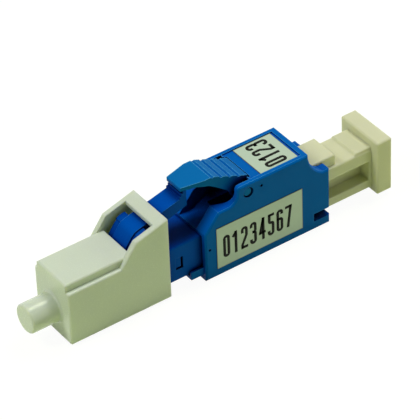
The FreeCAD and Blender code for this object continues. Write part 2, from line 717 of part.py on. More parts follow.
def make_spring():
    """The coil spring between the flange and the retainer, wound in short straight steps."""
    start = FLANGE_REAR + SPRING_WIRE / 2
    length = RETAINER_FRONT - FLANGE_REAR - SPRING_WIRE
    mean = FLANGE_TUBE_RADIUS + SPRING_GAP + SPRING_WIRE / 2
    wire = SPRING_WIRE / 2 / math.cos(math.pi / SPRING_WIRE_SIDES)
    steps = SPRING_STEPS * SPRING_TURNS
    sections = []
    for step in range(steps + 1):
        turn = 2 * math.pi * SPRING_TURNS * step / steps
        ring = []
        for corner in range(SPRING_WIRE_SIDES):
            angle = 2 * math.pi * (corner + 0.5) / SPRING_WIRE_SIDES
            radius = mean + wire * math.cos(angle)
            x = start + length * step / steps + wire * math.sin(angle)
            ring.append(Vector(x, radius * math.cos(turn), AXIS_HEIGHT + radius * math.sin(turn)))
        sections.append(Part.makePolygon(ring + ring[:1]))
    return Part.makeLoft(sections, True, True)


def make_retainer():
    """The insert behind the spring, with a snap tab on each side."""
    body = rod(CHAMBER_RADIUS, RETAINER_FRONT, SOCKET_DEPTH)
    body = body.fuse(box(
        SNAP_FRONT + SNAP_PLAY, SNAP_REAR - SNAP_GAP, PLUG_HALF - SNAP_SINK,
        SNAP_LOW + SNAP_GAP, SNAP_TOP - SNAP_PLAY,
    )).removeSplitter()
    return body.cut([
        rod(FERRULE_RADIUS + RETAINER_GAP, RETAINER_FRONT - OVERCUT, SOCKET_DEPTH + OVERCUT),
        rod(HOLDER_OUTER + SNUG_GAP, SLEEVE_FRONT - HOLDER_END_WALL - SNUG_GAP, SOCKET_DEPTH + OVERCUT),
    ])


def make_holder():
    """The flanged tube round the split sleeve."""
    body = rod(HOLDER_OUTER, SLEEVE_FRONT - HOLDER_END_WALL, SLEEVE_REAR + HOLDER_END_WALL)
    flange = rod(CHAMBER_RADIUS, SOCKET_DEPTH, SOCKET_DEPTH + HOLDER_FLANGE)
    body = body.fuse(flange).removeSplitter()
    return body.cut([
        rod(FERRULE_RADIUS + HOLDER_LEAD, SLEEVE_FRONT - OVERCUT, SLEEVE_REAR + OVERCUT),
        rod(HOLDER_INNER, SLEEVE_FRONT, SLEEVE_REAR),
    ])


def make_sleeve():
    """The slit ceramic sleeve."""
    body = rod(SLEEVE_OUTER, SLEEVE_FRONT, SLEEVE_REAR)
    half_slit = SLEEVE_SLIT / 2
    slit = block(
        SLEEVE_FRONT - OVERCUT, SLEEVE_REAR + OVERCUT, -half_slit, half_slit,
        AXIS_HEIGHT, AXIS_HEIGHT + 2 * SLEEVE_OUTER,
    )
    return body.cut([rod(SLEEVE_INNER, SLEEVE_FRONT - OVERCUT, SLEEVE_REAR + OVERCUT), slit])


def make_top_label():
    """The label on the floor of the recess."""
    end = RECESS_END - TOP_LABEL_INSET
    return box(
        end - TOP_LABEL_LENGTH, end, RAIL_INNER - FIT_GAP,
        RECESS_FLOOR, RECESS_FLOOR + LABEL_THICKNESS,
    )


def make_side_label():
    """The label on the side."""
    return block(
        SIDE_LABEL_START, SIDE_LABEL_START + SIDE_LABEL_LENGTH, -BODY_HALF - LABEL_THICKNESS, -BODY_HALF,
        SIDE_LABEL_LOW, SIDE_LABEL_LOW + SIDE_LABEL_HEIGHT,
    )


PIECES = {
    "rear_body": make_rear_body,
    "plug_housing": make_plug_housing,
    "latch_arm": make_latch_arm,
    "trigger": make_trigger,
    "dust_cap": make_dust_cap,
    "dust_plug": make_dust_plug,
    "ferrule": make_ferrule,
    "attenuating_fibre": make_fibre,
    "ferrule_flange": make_flange,
    "ferrule_spring": make_spring,
    "spring_retainer": make_retainer,
    "sleeve_holder": make_holder,
    "split_sleeve": make_sleeve,
    "top_label": make_top_label,
    "side_label": make_side_label,
}

os.makedirs("parts", exist_ok=True)
for name, make in PIECES.items():
    shape = make()
    if len(shape.Solids) != 1:
        raise ValueError(name + " is not one solid")
    solid = shape.Solids[0]
    # The origin is the middle of the underside of the rear body
    solid.translate(Vector(-BODY_LENGTH / 2, 0, 0))
    solid.exportStep("parts/" + name + ".step")
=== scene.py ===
"""Looks of a plug-in fibre optic attenuator: finishes, labels, coil spring and studio.

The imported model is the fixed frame. Each solid but the spring is shown by a dressed copy of itself.
Geometry Nodes make the digits on the labels and the turns of the coil spring. A size whose name ends
in _mm is in millimetres, and Blender's own lengths are metres.
"""

import logging
import math
from dataclasses import dataclass
from enum import Enum
from typing import Any

import bmesh
import bpy
from mathutils import Matrix, Vector


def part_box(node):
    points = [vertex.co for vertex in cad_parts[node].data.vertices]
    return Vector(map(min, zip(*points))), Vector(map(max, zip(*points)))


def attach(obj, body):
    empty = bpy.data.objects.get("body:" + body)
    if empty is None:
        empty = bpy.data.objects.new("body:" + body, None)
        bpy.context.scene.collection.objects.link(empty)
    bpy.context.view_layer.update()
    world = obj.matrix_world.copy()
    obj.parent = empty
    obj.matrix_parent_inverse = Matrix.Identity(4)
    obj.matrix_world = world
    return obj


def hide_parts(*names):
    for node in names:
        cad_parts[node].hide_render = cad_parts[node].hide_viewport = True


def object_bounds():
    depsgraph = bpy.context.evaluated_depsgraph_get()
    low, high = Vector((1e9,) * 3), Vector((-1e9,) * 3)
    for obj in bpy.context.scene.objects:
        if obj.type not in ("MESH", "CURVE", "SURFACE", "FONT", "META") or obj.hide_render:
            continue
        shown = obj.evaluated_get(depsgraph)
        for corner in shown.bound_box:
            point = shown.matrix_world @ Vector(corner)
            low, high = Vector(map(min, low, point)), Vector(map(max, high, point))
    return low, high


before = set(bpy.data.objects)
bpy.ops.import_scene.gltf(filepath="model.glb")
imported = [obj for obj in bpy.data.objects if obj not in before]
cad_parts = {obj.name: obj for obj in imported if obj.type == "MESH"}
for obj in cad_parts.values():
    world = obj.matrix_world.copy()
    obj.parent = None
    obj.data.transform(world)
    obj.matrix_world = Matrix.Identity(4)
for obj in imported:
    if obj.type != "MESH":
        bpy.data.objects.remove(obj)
CAD_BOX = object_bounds()

Tree = bpy.types.NodeTree
Socket = bpy.types.NodeSocket
Stroke = list[tuple[float, float]]
Range = tuple[float, float]

MM = 0.001
WHITE = (1.0, 1.0, 1.0, 1.0)
# A Mix node gives its sockets for numbers and colours the same names, so those for colours go by place
FIRST = 6
SECOND = 7
MIXED = 2
# Blender's wave texture turns by this many radians in one unit of length
WAVE_RADIANS = 20
# Rays that the shader sends out to find edges, outer corners and hollows
BEVEL_RAYS = 6
CORNER_RAYS = 4
HOLLOW_RAYS = 8
log = logging.getLogger("attenuator")


def linear(code: str) -> tuple[float, float, float, float]:
    """Turn an sRGB hex colour into the linear colour that sockets take.

    Args:
        code: Six hex digits after a hash sign.

    Returns:
        Linear red, green, blue and an alpha of one.
    """
    def channel(start: int) -> float:
        """One channel, from sRGB to linear."""
        value = int(code[start:start + 2], 16) / 255
        return value / 12.92 if value <= 0.04045 else ((value + 0.055) / 1.055) ** 2.4

    return channel(1), channel(3), channel(5), 1.0


def add_node(
    tree: Tree, kind: str, inputs: dict[str | int, Any] | None = None, **settings: Any,
) -> bpy.types.Node:
    """Add one node, with its settings, its plain values and its links.

    Args:
        tree: The node tree that gets the node.
        kind: Blender's name for the kind of node.
        inputs: Values or output sockets by the name or number of the input.
        **settings: Properties of the node.

    Returns:
        The new node.
    """
    node = tree.nodes.new(kind)
    for name, value in settings.items():
        setattr(node, name, value)
    for name, value in (inputs or {}).items():
        if isinstance(value, Socket):
            tree.links.new(value, node.inputs[name])
        else:
            node.inputs[name].default_value = value
    return node


class Edge(Enum):
    """Radius in millimetres that the mould leaves on an edge."""

    CRISP = 0.03
    MOULDED = 0.10
    SOFT = 0.16
    ROUND = 0.26


@dataclass(frozen=True)
class Finish:
    """A material: its name, its colour and the values of its shader that are the same all over."""

    name: str
    colour: str
    roughness: float
    ior: float = 1.5
    specular: float = 0.5
    tint: str = "#FFFFFF"
    metallic: float = 0.0

    def even_values(self) -> dict[str, Any]:
        """Collect what is the same all over the surface.

        Returns:
            Values by the name of the shader's input. A metal keeps the default IOR.
        """
        values = {
            "Base Color": linear(self.colour),
            "Roughness": self.roughness,
            "Metallic": self.metallic,
            "Specular IOR Level": self.specular,
            "Specular Tint": linear(self.tint),
        }
        if not self.metallic:
            values["IOR"] = self.ior
        return values

    def pattern(self, tree: Tree, where: Socket) -> dict[str, Socket]:
        """Build what varies over the surface.

        Args:
            tree: The material's nodes.
            where: Object coordinates, in metres.

        Returns:
            Output sockets by the name of the shader's input that they feed.
        """
        raise NotImplementedError

    def material(self) -> bpy.types.Material:
        """Build the material.

        Returns:
            A node material with the finish's own pattern.
        """
        material = bpy.data.materials.new(self.name)
        material.use_nodes = True
        material.diffuse_color = linear(self.colour)
        tree = material.node_tree
        tree.nodes.clear()
        shader = add_node(tree, "ShaderNodeBsdfPrincipled", self.even_values())
        add_node(tree, "ShaderNodeOutputMaterial", {"Surface": shader.outputs["BSDF"]})
        where = add_node(tree, "ShaderNodeTexCoord").outputs["Object"]
        for name, source in self.pattern(tree, where).items():
            tree.links.new(source, shader.inputs[name])
        return material


@dataclass(frozen=True)
class MouldedPolymer(Finish):
    """Injection-moulded thermoplastic: faint flow clouds, the grain of an eroded mould, rounded edges.

    The grain is drawn coarser than the real one so that it shows. Light on upper edges and shade in
    hollows are painted into the colour. A range named after the sky gives the shares of open sky at
    which a colour starts and is full.
    """

    cloud_colour: str = "#000000"
    cloud_mm: float = 3.0
    cloud_detail: float = 3.0
    cloud_roughness: float = 0.55
    grain_mm: float = 0.12
    grain_detail: float = 2.0
    grain_roughness: float = 0.6
    grain_depth_mm: float = 0.002
    grain_strength: float = 0.6
    gloss_spread: float = 0.06
    edge: Edge = Edge.MOULDED
    # Colour and masks of the highlight painted on outer edges that face up
    edge_highlight_colour: str | None = None
    edge_bend: Range = (0.985, 0.88)
    edge_sky: Range = (0.6, 0.85)
    edge_rise: Range = (0.48, 0.75)
    edge_sight: float = 3.0
    # Colours and masks of the shade painted into hollows and pits
    hollow_shade_colour: str | None = None
    hollow_mm: float = 5.0
    hollow_sky: Range = (0.98, 0.62)
    pit_shade_colour: str = "#000830"
    pit_sky: Range = (0.6, 0.2)
    glow: float = 0.0
    glow_mm: float = 0.6
    glow_reach: tuple[float, float, float] = (1.0, 0.95, 0.6)

    def even_values(self) -> dict[str, Any]:
        """Add the glow of a clear resin.

        Returns:
            Values by the name of the shader's input.
        """
        values = super().even_values()
        if self.glow:
            values["Subsurface Weight"] = self.glow
            values["Subsurface Radius"] = self.glow_reach
            values["Subsurface Scale"] = self.glow_mm * MM
        return values

    def painted_edge_highlight(self, tree: Tree, colour: Socket, rounded: Socket) -> Socket:
        """Paint a highlight on the outer edges that face up, where the light catches them.

        Args:
            tree: The material's nodes.
            colour: The colour away from the edges.
            rounded: The normal of the rounded edges.

        Returns:
            The colour with painted highlights on its edges.
        """
        flat = add_node(tree, "ShaderNodeNewGeometry").outputs["Normal"]
        bend = add_node(tree, "ShaderNodeVectorMath", {0: rounded, 1: flat}, operation="DOT_PRODUCT")
        # Inner corners see less of the sky than outer ones, and stay as they are
        sky = add_node(tree, "ShaderNodeAmbientOcclusion", {
            "Distance": self.edge_sight * self.edge.value * MM,
        }, samples=CORNER_RAYS, only_local=True)
        # Only edges that face up get the painted highlight, as the light falls from above
        rise = add_node(tree, "ShaderNodeSeparateXYZ", {"Vector": rounded})
        shares = []
        for measure, (start, full) in (
            (bend.outputs["Value"], self.edge_bend),
            (sky.outputs["AO"], self.edge_sky),
            (rise.outputs["Z"], self.edge_rise),
        ):
            share = add_node(tree, "ShaderNodeMapRange", {
                "Value": measure, "From Min": start, "From Max": full,
            })
            shares.append(share.outputs["Result"])
        lit = shares[0]
        for share in shares[1:]:
            lit = add_node(tree, "ShaderNodeMath", {0: lit, 1: share}, operation="MULTIPLY").outputs[0]
        return add_node(tree, "ShaderNodeMix", {
            "Factor": lit, FIRST: colour, SECOND: linear(self.edge_highlight_colour),
        }, data_type="RGBA").outputs[MIXED]

    def painted_hollow_shade(self, tree: Tree, colour: Socket) -> Socket:
        """Paint shade into hollows: a purer, darker colour where less sky is open, and near black in
        pits.

        Args:
            tree: The material's nodes.
            colour: The colour of open faces.

        Returns:
            The colour with painted shade in its hollows.
        """
        sky = add_node(tree, "ShaderNodeAmbientOcclusion", {
            "Distance": self.hollow_mm * MM,
        }, samples=HOLLOW_RAYS)
        for code, (start, full) in (
            (self.hollow_shade_colour, self.hollow_sky),
            (self.pit_shade_colour, self.pit_sky),
        ):
            depth = add_node(tree, "ShaderNodeMapRange", {
                "Value": sky.outputs["AO"], "From Min": start, "From Max": full,
            })
            colour = add_node(tree, "ShaderNodeMix", {
                "Factor": depth.outputs["Result"], FIRST: colour, SECOND: linear(code),
            }, data_type="RGBA").outputs[MIXED]
        return colour

    def pattern(self, tree: Tree, where: Socket) -> dict[str, Socket]:
        """Build clouds, grain and rounded edges, with painted edge highlights and hollow shade where
        they have a colour.

        Args:
            tree: The material's nodes.
            where: Object coordinates, in metres.

        Returns:
            Output sockets by the name of the shader's input that they feed.
        """
        cloud = add_node(tree, "ShaderNodeTexNoise", {
            "Vector": where, "Scale": 1 / (self.cloud_mm * MM),
            "Detail": self.cloud_detail, "Roughness": self.cloud_roughness,
        })
        colour = add_node(tree, "ShaderNodeMix", {
            "Factor": cloud.outputs["Fac"],
            FIRST: linear(self.colour), SECOND: linear(self.cloud_colour),
        }, data_type="RGBA").outputs[MIXED]
        grain = add_node(tree, "ShaderNodeTexNoise", {
            "Vector": where, "Scale": 1 / (self.grain_mm * MM),
            "Detail": self.grain_detail, "Roughness": self.grain_roughness,
        })
        gloss = add_node(tree, "ShaderNodeMapRange", {
            "Value": grain.outputs["Fac"],
            "To Min": self.roughness - self.gloss_spread, "To Max": self.roughness + self.gloss_spread,
        })
        bevel = add_node(tree, "ShaderNodeBevel", {"Radius": self.edge.value * MM}, samples=BEVEL_RAYS)
        rounded = bevel.outputs["Normal"]
        bump = add_node(tree, "ShaderNodeBump", {
            "Height": grain.outputs["Fac"], "Distance": self.grain_depth_mm * MM,
            "Strength": self.grain_strength, "Normal": rounded,
        })
        if self.edge_highlight_colour:
            colour = self.painted_edge_highlight(tree, colour, rounded)
        if self.hollow_shade_colour:
            colour = self.painted_hollow_shade(tree, colour)
        return {
            "Base Color": colour,
            "Roughness": gloss.outputs["Result"],
            "Normal": bump.outputs["Normal"],
        }


@dataclass(frozen=True)
class GroundCeramic(Finish):
    """Zirconia ground to size: hard white, glossy, with fine rings from the wheel round the X axis."""

    ring_mm: float = 0.09
    ring_waver: float = 1.5
    ring_detail: float = 2.0
    ring_depth_mm: float = 0.0006
    ring_strength: float = 0.5
    gloss_spread: float = 0.08

    def pattern(self, tree: Tree, where: Socket) -> dict[str, Socket]:
        """Build the grinding rings, drawn coarser than the real ones so that they show.

        Args:
            tree: The material's nodes.
            where: Object coordinates, in metres.

        Returns:
            Output sockets by the name of the shader's input that they feed.
        """
        rings = add_node(tree, "ShaderNodeTexWave", {
            "Vector": where, "Scale": math.pi / (WAVE_RADIANS * self.ring_mm * MM),
            "Distortion": self.ring_waver, "Detail": self.ring_detail,
        }, wave_type="BANDS", bands_direction="X")
        gloss = add_node(tree, "ShaderNodeMapRange", {
            "Value": rings.outputs["Fac"],
            "To Min": self.roughness, "To Max": self.roughness + self.gloss_spread,
        })
        bump = add_node(tree, "ShaderNodeBump", {
            "Height": rings.outputs["Fac"], "Distance": self.ring_depth_mm * MM,
            "Strength": self.ring_strength,
        })
        return {"Roughness": gloss.outputs["Result"], "Normal": bump.outputs["Normal"]}


@dataclass(frozen=True)
class TurnedMetal(Finish):
    """Metal turned or drawn along X: bright, with tool marks in rings and patches of duller plating."""

    mark_mm: float = 0.06
    mark_waver: float = 2.0
    mark_detail: float = 2.0
    mark_depth_mm: float = 0.001
    mark_strength: float = 0.5
    dull_colour: str = "#000000"
    dull_mm: float = 1.2
    dull_detail: float = 3.0
    gloss_gain: float = 0.08
    gloss_loss: float = 0.1

    def pattern(self, tree: Tree, where: Socket) -> dict[str, Socket]:
        """Build the duller patches and the tool marks, coarser than the real ones so that they show.

        Args:
            tree: The material's nodes.
            where: Object coordinates, in metres.

        Returns:
            Output sockets by the name of the shader's input that they feed.
        """
        marks = add_node(tree, "ShaderNodeTexWave", {
            "Vector": where, "Scale": math.pi / (WAVE_RADIANS * self.mark_mm * MM),
            "Distortion": self.mark_waver, "Detail": self.mark_detail,
        }, wave_type="BANDS", bands_direction="X")
        dull = add_node(tree, "ShaderNodeTexNoise", {
            "Vector": where, "Scale": 1 / (self.dull_mm * MM), "Detail": self.dull_detail,
        })
        colour = add_node(tree, "ShaderNodeMix", {
            "Factor": dull.outputs["Fac"],
            FIRST: linear(self.colour), SECOND: linear(self.dull_colour),
        }, data_type="RGBA")
        gloss = add_node(tree, "ShaderNodeMapRange", {
            "Value": dull.outputs["Fac"],
            "To Min": self.roughness - self.gloss_gain, "To Max": self.roughness + self.gloss_loss,
        })
        bump = add_node(tree, "ShaderNodeBump", {
            "Height": marks.outputs["Fac"], "Distance": self.mark_depth_mm * MM,
            "Strength": self.mark_strength,
        })
        return {
            "Base Color": colour.outputs[MIXED],
            "Roughness": gloss.outputs["Result"],
            "Normal": bump.outputs["Normal"],
        }


@dataclass(frozen=True)
class DopedSilica(Finish):
    """The absorbing fibre: smoky glass with faint paler specks."""

    speck_colour: str = "#FFFFFF"
    speck_mm: float = 0.03
    speck_detail: float = 2.0

    def pattern(self, tree: Tree, where: Socket) -> dict[str, Socket]:
        """Build the specks.

        Args:
            tree: The material's nodes.
            where: Object coordinates, in metres.

        Returns:
            Output sockets by the name of the shader's input that they feed.
        """
        specks = add_node(tree, "ShaderNodeTexNoise", {
            "Vector": where, "Scale": 1 / (self.speck_mm * MM), "Detail": self.speck_detail,
        })
        colour = add_node(tree, "ShaderNodeMix", {
            "Factor": specks.outputs["Fac"],
            FIRST: linear(self.colour), SECOND: linear(self.speck_colour),
        }, data_type="RGBA")
        return {"Base Color": colour.outputs[MIXED]}


@dataclass(frozen=True)
class LabelStock(Finish):
    """Coated paper label: pale, matt, with faint fibres and a dark line of painted shade along its
    edge.

    The fibres are drawn coarser than the real ones so that they show. Each of the sides is an axis with
    the lowest and highest place of the paper on it, in metres.
    """

    fibre_colour: str = "#000000"
    fibre_mm: float = 0.25
    fibre_detail: float = 4.0
    fibre_roughness: float = 0.7
    fibre_depth_mm: float = 0.003
    fibre_strength: float = 0.4
    # Colour and width of the shade painted along the paper's edge
    rim_shade_colour: str = "#4A5340"
    rim_shade_mm: float = 0.09
    sides: tuple[tuple[int, float, float], ...] = ()

    def rim_shade_band(self, tree: Tree, where: Socket) -> Socket:
        """Find the band along the paper's edge that gets the painted shade.

        Args:
            tree: The material's nodes.
            where: Object coordinates, in metres.

        Returns:
            A socket that rises from nought to one at the edge.
        """
        place = add_node(tree, "ShaderNodeSeparateXYZ", {"Vector": where}).outputs
        edges = []
        for axis, low, high in self.sides:
            half = (high - low) / 2
            offset = add_node(tree, "ShaderNodeMath", {
                0: place[axis], 1: (low + high) / 2,
            }, operation="SUBTRACT")
            reach = add_node(tree, "ShaderNodeMath", {0: offset.outputs[0]}, operation="ABSOLUTE")
            edge = add_node(tree, "ShaderNodeMapRange", {
                "Value": reach.outputs[0], "From Min": half - self.rim_shade_mm * MM, "From Max": half,
            })
            edges.append(edge.outputs["Result"])
        return add_node(tree, "ShaderNodeMath", {
            0: edges[0], 1: edges[1],
        }, operation="MAXIMUM").outputs[0]

    def pattern(self, tree: Tree, where: Socket) -> dict[str, Socket]:
        """Build the paper's fibres and the painted shade along its edge.

        Args:
            tree: The material's nodes.
            where: Object coordinates, in metres.

        Returns:
            Output sockets by the name of the shader's input that they feed.
        """
        fibres = add_node(tree, "ShaderNodeTexNoise", {
            "Vector": where, "Scale": 1 / (self.fibre_mm * MM),
            "Detail": self.fibre_detail, "Roughness": self.fibre_roughness,
        })
        paper = add_node(tree, "ShaderNodeMix", {
            "Factor": fibres.outputs["Fac"],
            FIRST: linear(self.colour), SECOND: linear(self.fibre_colour),
        }, data_type="RGBA")
        colour = add_node(tree, "ShaderNodeMix", {
            "Factor": self.rim_shade_band(tree, where),
            FIRST: paper.outputs[MIXED], SECOND: linear(self.rim_shade_colour),
        }, data_type="RGBA")
        bump = add_node(tree, "ShaderNodeBump", {
            "Height": fibres.outputs["Fac"], "Distance": self.fibre_depth_mm * MM,
            "Strength": self.fibre_strength,
        })
        return {"Base Color": colour.outputs[MIXED], "Normal": bump.outputs["Normal"]}


@dataclass(frozen=True)
class PrintInk(Finish):
    """Thermal print: near black, matt, thinner where the ribbon dragged."""

    thin_colour: str = "#000000"
    drag_mm: float = 0.2
    drag_detail: float = 3.0

    def pattern(self, tree: Tree, where: Socket) -> dict[str, Socket]:
        """Build the uneven density of the print.

        Args:
            tree: The material's nodes.
            where: Object coordinates, in metres.

        Returns:
            Output sockets by the name of the shader's input that they feed.
        """
        drag = add_node(tree, "ShaderNodeTexNoise", {
            "Vector": where, "Scale": 1 / (self.drag_mm * MM), "Detail": self.drag_detail,
        })
        colour = add_node(tree, "ShaderNodeMix", {
            "Factor": drag.outputs["Fac"],
            FIRST: linear(self.colour), SECOND: linear(self.thin_colour),
        }, data_type="RGBA")
        return {"Base Color": colour.outputs[MIXED]}


# Polyester, moulded: a deep satin blue that stays saturated in the light
BLUE_BODY = MouldedPolymer(
    "blue_polyester_body", "#0068BB", 0.40, ior=1.57, specular=0.05, tint="#1E96FF",
    # The edge colour is a painted highlight, and the hollow colour painted shade
    cloud_colour="#0062B1", edge=Edge.MOULDED, edge_highlight_colour="#60BEF2", hollow_shade_colour="#0050B8",
)
# The plug, its arm and the retainer: the same resin with less green in it
BLUE_PLUG = MouldedPolymer(
    "blue_polyester_plug", "#005ABD", 0.40, ior=1.57, specular=0.04, tint="#1E90FF",
    # The edge colour is a painted highlight, and the hollow colour painted shade
    cloud_colour="#0054B3", edge=Edge.MOULDED, edge_highlight_colour="#50B0F8", hollow_shade_colour="#00328C",
)
# The lever: the same resin with more green in it, and rounder edges
BLUE_LEVER = MouldedPolymer(
    "blue_polyester_lever", "#0E72B6", 0.36, ior=1.57, specular=0.02, tint="#1496FF",
    # The edge colour is a painted highlight, and the hollow colour painted shade
    cloud_colour="#0C6CAD", edge=Edge.SOFT, edge_highlight_colour="#68CCF6", hollow_shade_colour="#0046A4",
)
# Low-density polyethylene, moulded without pigment: milky and a little green, with soft edges
WHITE_POLYETHYLENE = MouldedPolymer(
    "white_polyethylene_moulded", "#DAE5CE", 0.26, ior=1.51, specular=0.35, tint="#F6F8E0",
    cloud_colour="#D5E0C8", edge=Edge.SOFT, glow=0.5, glow_mm=1.0,
)
# The same resin, yellower and duller, with rounder edges
CREAM_POLYETHYLENE = MouldedPolymer(
    "cream_polyethylene_moulded", "#DDDFB8", 0.34, ior=1.51, specular=0.3, tint="#F6F6DC",
    cloud_colour="#D8DAB0", edge=Edge.ROUND, glow=0.5, glow_mm=1.0,
)
# Liquid crystal polymer, moulded: chalky white with crisp edges
WHITE_LIQUID_CRYSTAL = MouldedPolymer(
    "white_liquid_crystal_polymer", "#E4E2D8", 0.55, ior=1.65, specular=0.3, cloud_colour="#DAD8CC",
    edge=Edge.CRISP,
)
# Zirconia, ground: hard warm white with a sharp gloss
ZIRCONIA = GroundCeramic("ground_zirconia", "#EDEAE2", 0.14, ior=2.1)
# Brass, turned and nickel plated: a warm pale metal
NICKEL_PLATE = TurnedMetal("nickel_plated_brass", "#C9C4B8", 0.28, metallic=1.0, dull_colour="#AFA998")
# Spring steel, drawn: a cool grey metal
SPRING_STEEL = TurnedMetal("drawn_spring_steel", "#B4B7BA", 0.26, metallic=1.0, dull_colour="#94989C")
# Silica with an absorbing dope, drawn: smoky grey and very glossy
SMOKED_SILICA = DopedSilica("doped_silica", "#6E746C", 0.08, ior=1.46, speck_colour="#8E948C")
# Thermal print: near black with hardly any gloss
INK = PrintInk("thermal_print", "#0A0B06", 0.6, specular=0.1, thin_colour="#17190F")


def plain_mesh(
    name: str, tree: Tree, values: dict[str, Any], lines: bpy.types.Mesh | None = None,
) -> bpy.types.Mesh:
    """Run a Geometry Nodes tree once and keep its result as a plain mesh.

    Args:
        name: Name of the mesh.
        tree: The tree.
        values: Values for the tree's inputs, by their names.
        lines: The mesh that the tree starts from, if it starts from one.

    Returns:
        The evaluated mesh.
    """
    carrier_name = name + "_carrier"
    carrier = bpy.data.objects.new(carrier_name, lines or bpy.data.meshes.new(carrier_name))
    bpy.context.scene.collection.objects.link(carrier)
    modifier = carrier.modifiers.new("make", "NODES")
    modifier.node_group = tree
    for item in tree.interface.items_tree:
        if item.item_type == "SOCKET" and item.in_out == "INPUT" and item.name in values:
            modifier[item.identifier] = values[item.name]
    depsgraph = bpy.context.evaluated_depsgraph_get()
    mesh = bpy.data.meshes.new_from_object(carrier.evaluated_get(depsgraph))
    mesh.name = name
    bpy.data.objects.remove(carrier)
    return mesh


def new_tree(name: str, inputs: dict[str, str]) -> Tree:
    """Start a Geometry Nodes tree with its named inputs and one geometry output.

    Args:
        name: Name of the tree.
        inputs: The kind of each input by its name.

    Returns:
        The tree, still without nodes.
    """
    tree = bpy.data.node_groups.new(name, "GeometryNodeTree")
    tree.interface.new_socket("Geometry", in_out="OUTPUT", socket_type="NodeSocketGeometry")
    for label, kind in inputs.items():
        tree.interface.new_socket(label, in_out="INPUT", socket_type="NodeSocket" + kind)
    return tree


def add_piece(name: str, mesh: bpy.types.Mesh, body: str) -> bpy.types.Object:
    """Put a finished mesh in the scene, on its body.

    Args:
        name: Name of the piece.
        mesh: Its mesh, in the row frame.
        body: The body that it rides on.

    Returns:
        The piece.
    """
    piece = bpy.data.objects.new(name, mesh)
    bpy.context.scene.collection.objects.link(piece)
    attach(piece, body)
    log.info("%s: %d faces on %s", name, len(mesh.polygons), body)
    return piece


@dataclass
class Moulding:
    """One solid shown with smooth curves and its finish."""

    node: str
    body: str
    finish: Finish
    merge_mm: float = 0.002
    crease_deg: float = 28.0

    def build(self) -> None:
        """Copy the solid, join its loose triangles and dress it."""
        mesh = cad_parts[self.node].data.copy()
        shape = bmesh.new()
        shape.from_mesh(mesh)
        bmesh.ops.remove_doubles(shape, verts=shape.verts, dist=self.merge_mm * MM)
        shape.to_mesh(mesh)
        shape.free()
        for name in ("custom_normal", "sharp_face"):
            if name in mesh.attributes:
                mesh.attributes.remove(mesh.attributes[name])
        mesh.shade_smooth()
        mesh.set_sharp_from_angle(angle=math.radians(self.crease_deg))
        mesh.materials.clear()
        mesh.materials.append(self.finish.material())
        mesh.name = self.node + "_surface"
        piece = add_piece(self.node + "_finished", mesh, self.body)
        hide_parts(self.node)


# Strokes of plain digits in a cell that is one wide and this high, before their corners are rounded
CELL_HEIGHT = 2
DIGIT_STROKES: dict[str, list[Stroke]] = {
    "0": [[(0, 0), (1, 0), (1, 2), (0, 2), (0, 0)]],
    "1": [[(0.05, 1.7), (0.45, 1.9)], [(0.6, 2), (0.6, 0)]],
    "2": [[(0, 1.64), (0, 2), (1, 2), (1, 1.2), (0, 0.3), (0, 0)], [(0, 0), (1, 0)]],
    "3": [
        [(0, 1.74), (0, 2), (1, 2), (1, 1.1), (0.6, 1.1)],
        [(0.6, 1.1), (1, 1.1), (1, 0), (0, 0), (0, 0.26)],
    ],
    "4": [[(0.75, 0), (0.75, 2)], [(0.75, 2), (0, 0.6)], [(0, 0.6), (1, 0.6)]],
    "5": [[(0.95, 2), (0.08, 2)], [(0.08, 2), (0.08, 1.2), (1, 1.2), (1, 0), (0, 0), (0, 0.26)]],
    "6": [[(1, 1.74), (1, 2), (0, 2), (0, 0), (1, 0), (1, 1.15), (0, 1.15)]],
    "7": [[(0, 2), (1, 2)], [(1, 2), (0.35, 0)]],
}


